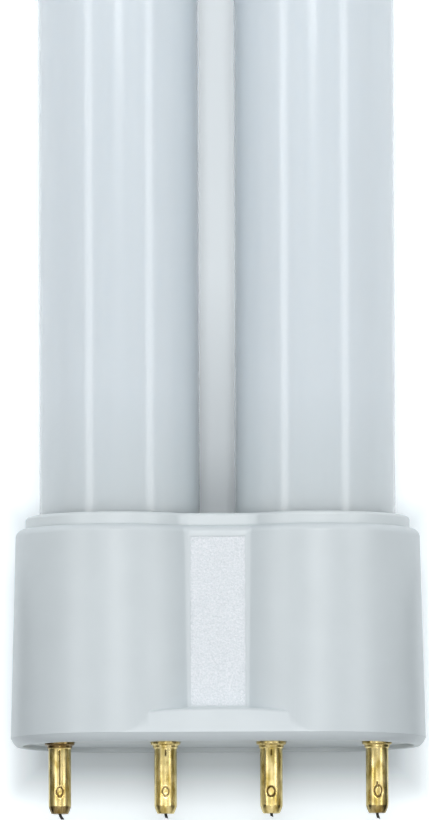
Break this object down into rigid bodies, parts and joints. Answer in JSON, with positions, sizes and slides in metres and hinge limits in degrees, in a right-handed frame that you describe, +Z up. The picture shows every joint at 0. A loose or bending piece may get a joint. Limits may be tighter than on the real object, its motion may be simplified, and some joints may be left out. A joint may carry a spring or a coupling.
{
  "type": "four pin compact fluorescent lamp",
  "caption": "Long straight twin tube fluorescent lamp: milky white glass limbs joined by a bridge, in a waisted white plastic cap with in-line hollow brass contact pins.",
  "frame": {"origin": "centre of the flat rim round the pin face, which is the foot of the cap", "axes": "+Y runs from the pins towards the joined tube ends, +X across the two tubes, +Z up from the broad side that the lamp lies on"},
  "size_m": [0.0432, 0.2247, 0.022],
  "materials": {
    "white_glass": "glossy outside over an opaque milky white coat",
    "cap_plastic": "satin moulded, cool greyish white, with a fine textured field on each waist",
    "collar_plastic": "satin moulded, cool greyish white",
    "cement": "rough, dry",
    "pin_brass": "polished, with fine scratches and dark crimp marks",
    "wire_metal": "dull dark metal, cut ends"
  },
  "bodies": {
    "root": {"discharge_tube": "white_glass", "cap_shell": "cap_plastic", "tube_collar": "collar_plastic", "cement_left": "cement", "cement_right": "cement", "contact_pin_1": "pin_brass", "contact_pin_2": "pin_brass", "contact_pin_3": "pin_brass", "contact_pin_4": "pin_brass", "lead_wire_1": "wire_metal", "lead_wire_2": "wire_metal", "lead_wire_3": "wire_metal", "lead_wire_4": "wire_metal"}
  },
  "joints": []
}
